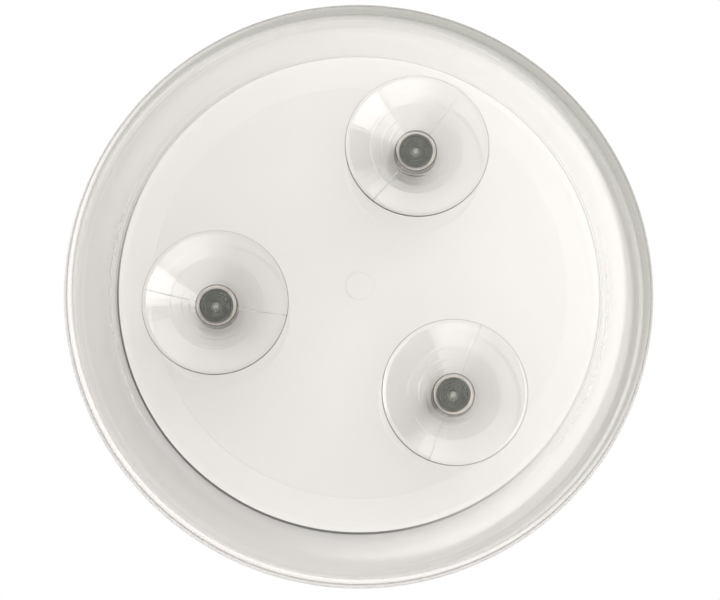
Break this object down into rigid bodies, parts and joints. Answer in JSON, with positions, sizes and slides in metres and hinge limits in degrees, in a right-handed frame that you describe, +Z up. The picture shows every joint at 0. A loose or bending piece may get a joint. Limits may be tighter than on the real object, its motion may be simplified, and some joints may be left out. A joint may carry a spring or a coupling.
{
  "type": "magnifying makeup mirror",
  "caption": "Round dished magnifying mirror in a clear two-piece frame, held on a wall by clear suction cups on metal screws.",
  "frame": {"origin": "on the mirror's axis, in the plane of the suction cups' lips, which is the wall's face", "axes": "+Y into the wall, -Y out of the mirror's face, +Z up, +X to the right of a person who looks at the face"},
  "size_m": [0.168, 0.0286, 0.168],
  "materials": {
    "clear_plastic": "clear moulded polystyrene, polished",
    "soft_clear": "clear soft vinyl, slightly tacky gloss",
    "silvered_glass": "silvered face, white painted back, ground edge",
    "white_film": "white vinyl film, satin",
    "plated_steel": "dull zinc plate with turning marks"
  },
  "bodies": {
    "mirror_body": {"rear_shell": "clear_plastic", "front_bezel": "clear_plastic", "mirror_glass": "silvered_glass", "safety_film": "white_film", "retaining_ring": "clear_plastic"},
    "cup_1_stud": {"cup_screw_1": "plated_steel", "neck_washer_1": "plated_steel", "inner_washer_1": "plated_steel", "lock_nut_1": "plated_steel"},
    "cup_2_stud": {"cup_screw_2": "plated_steel", "neck_washer_2": "plated_steel", "inner_washer_2": "plated_steel", "lock_nut_2": "plated_steel"},
    "cup_3_stud": {"cup_screw_3": "plated_steel", "neck_washer_3": "plated_steel", "inner_washer_3": "plated_steel", "lock_nut_3": "plated_steel"},
    "cup_1": {"suction_cup_1": "soft_clear"},
    "cup_2": {"suction_cup_2": "soft_clear"},
    "cup_3": {"suction_cup_3": "soft_clear"}
  },
  "joints": [
    {"name": "cup_1_turn", "type": "hinge", "parent": "mirror_body", "child": "cup_1_stud", "pos_m": [-0.01555, 0, 0.03718], "axis": [0, 1, 0], "continuous": true},
    {"name": "cup_2_turn", "type": "hinge", "parent": "mirror_body", "child": "cup_2_stud", "pos_m": [0.03975, 0, -0.00665], "axis": [0, 1, 0], "continuous": true},
    {"name": "cup_3_turn", "type": "hinge", "parent": "mirror_body", "child": "cup_3_stud", "pos_m": [-0.02558, 0, -0.03114], "axis": [0, 1, 0], "continuous": true},
    {"name": "cup_1_press", "type": "slide", "parent": "cup_1_stud", "child": "cup_1", "axis": [0, -1, 0], "range_m": [0, 0.004], "stiffness_N_per_m": 2500, "deforming": ["suction_cup_1"]},
    {"name": "cup_2_press", "type": "slide", "parent": "cup_2_stud", "child": "cup_2", "axis": [0, -1, 0], "range_m": [0, 0.004], "stiffness_N_per_m": 2500, "deforming": ["suction_cup_2"]},
    {"name": "cup_3_press", "type": "slide", "parent": "cup_3_stud", "child": "cup_3", "axis": [0, -1, 0], "range_m": [0, 0.004], "stiffness_N_per_m": 2500, "deforming": ["suction_cup_3"]}
  ]
}
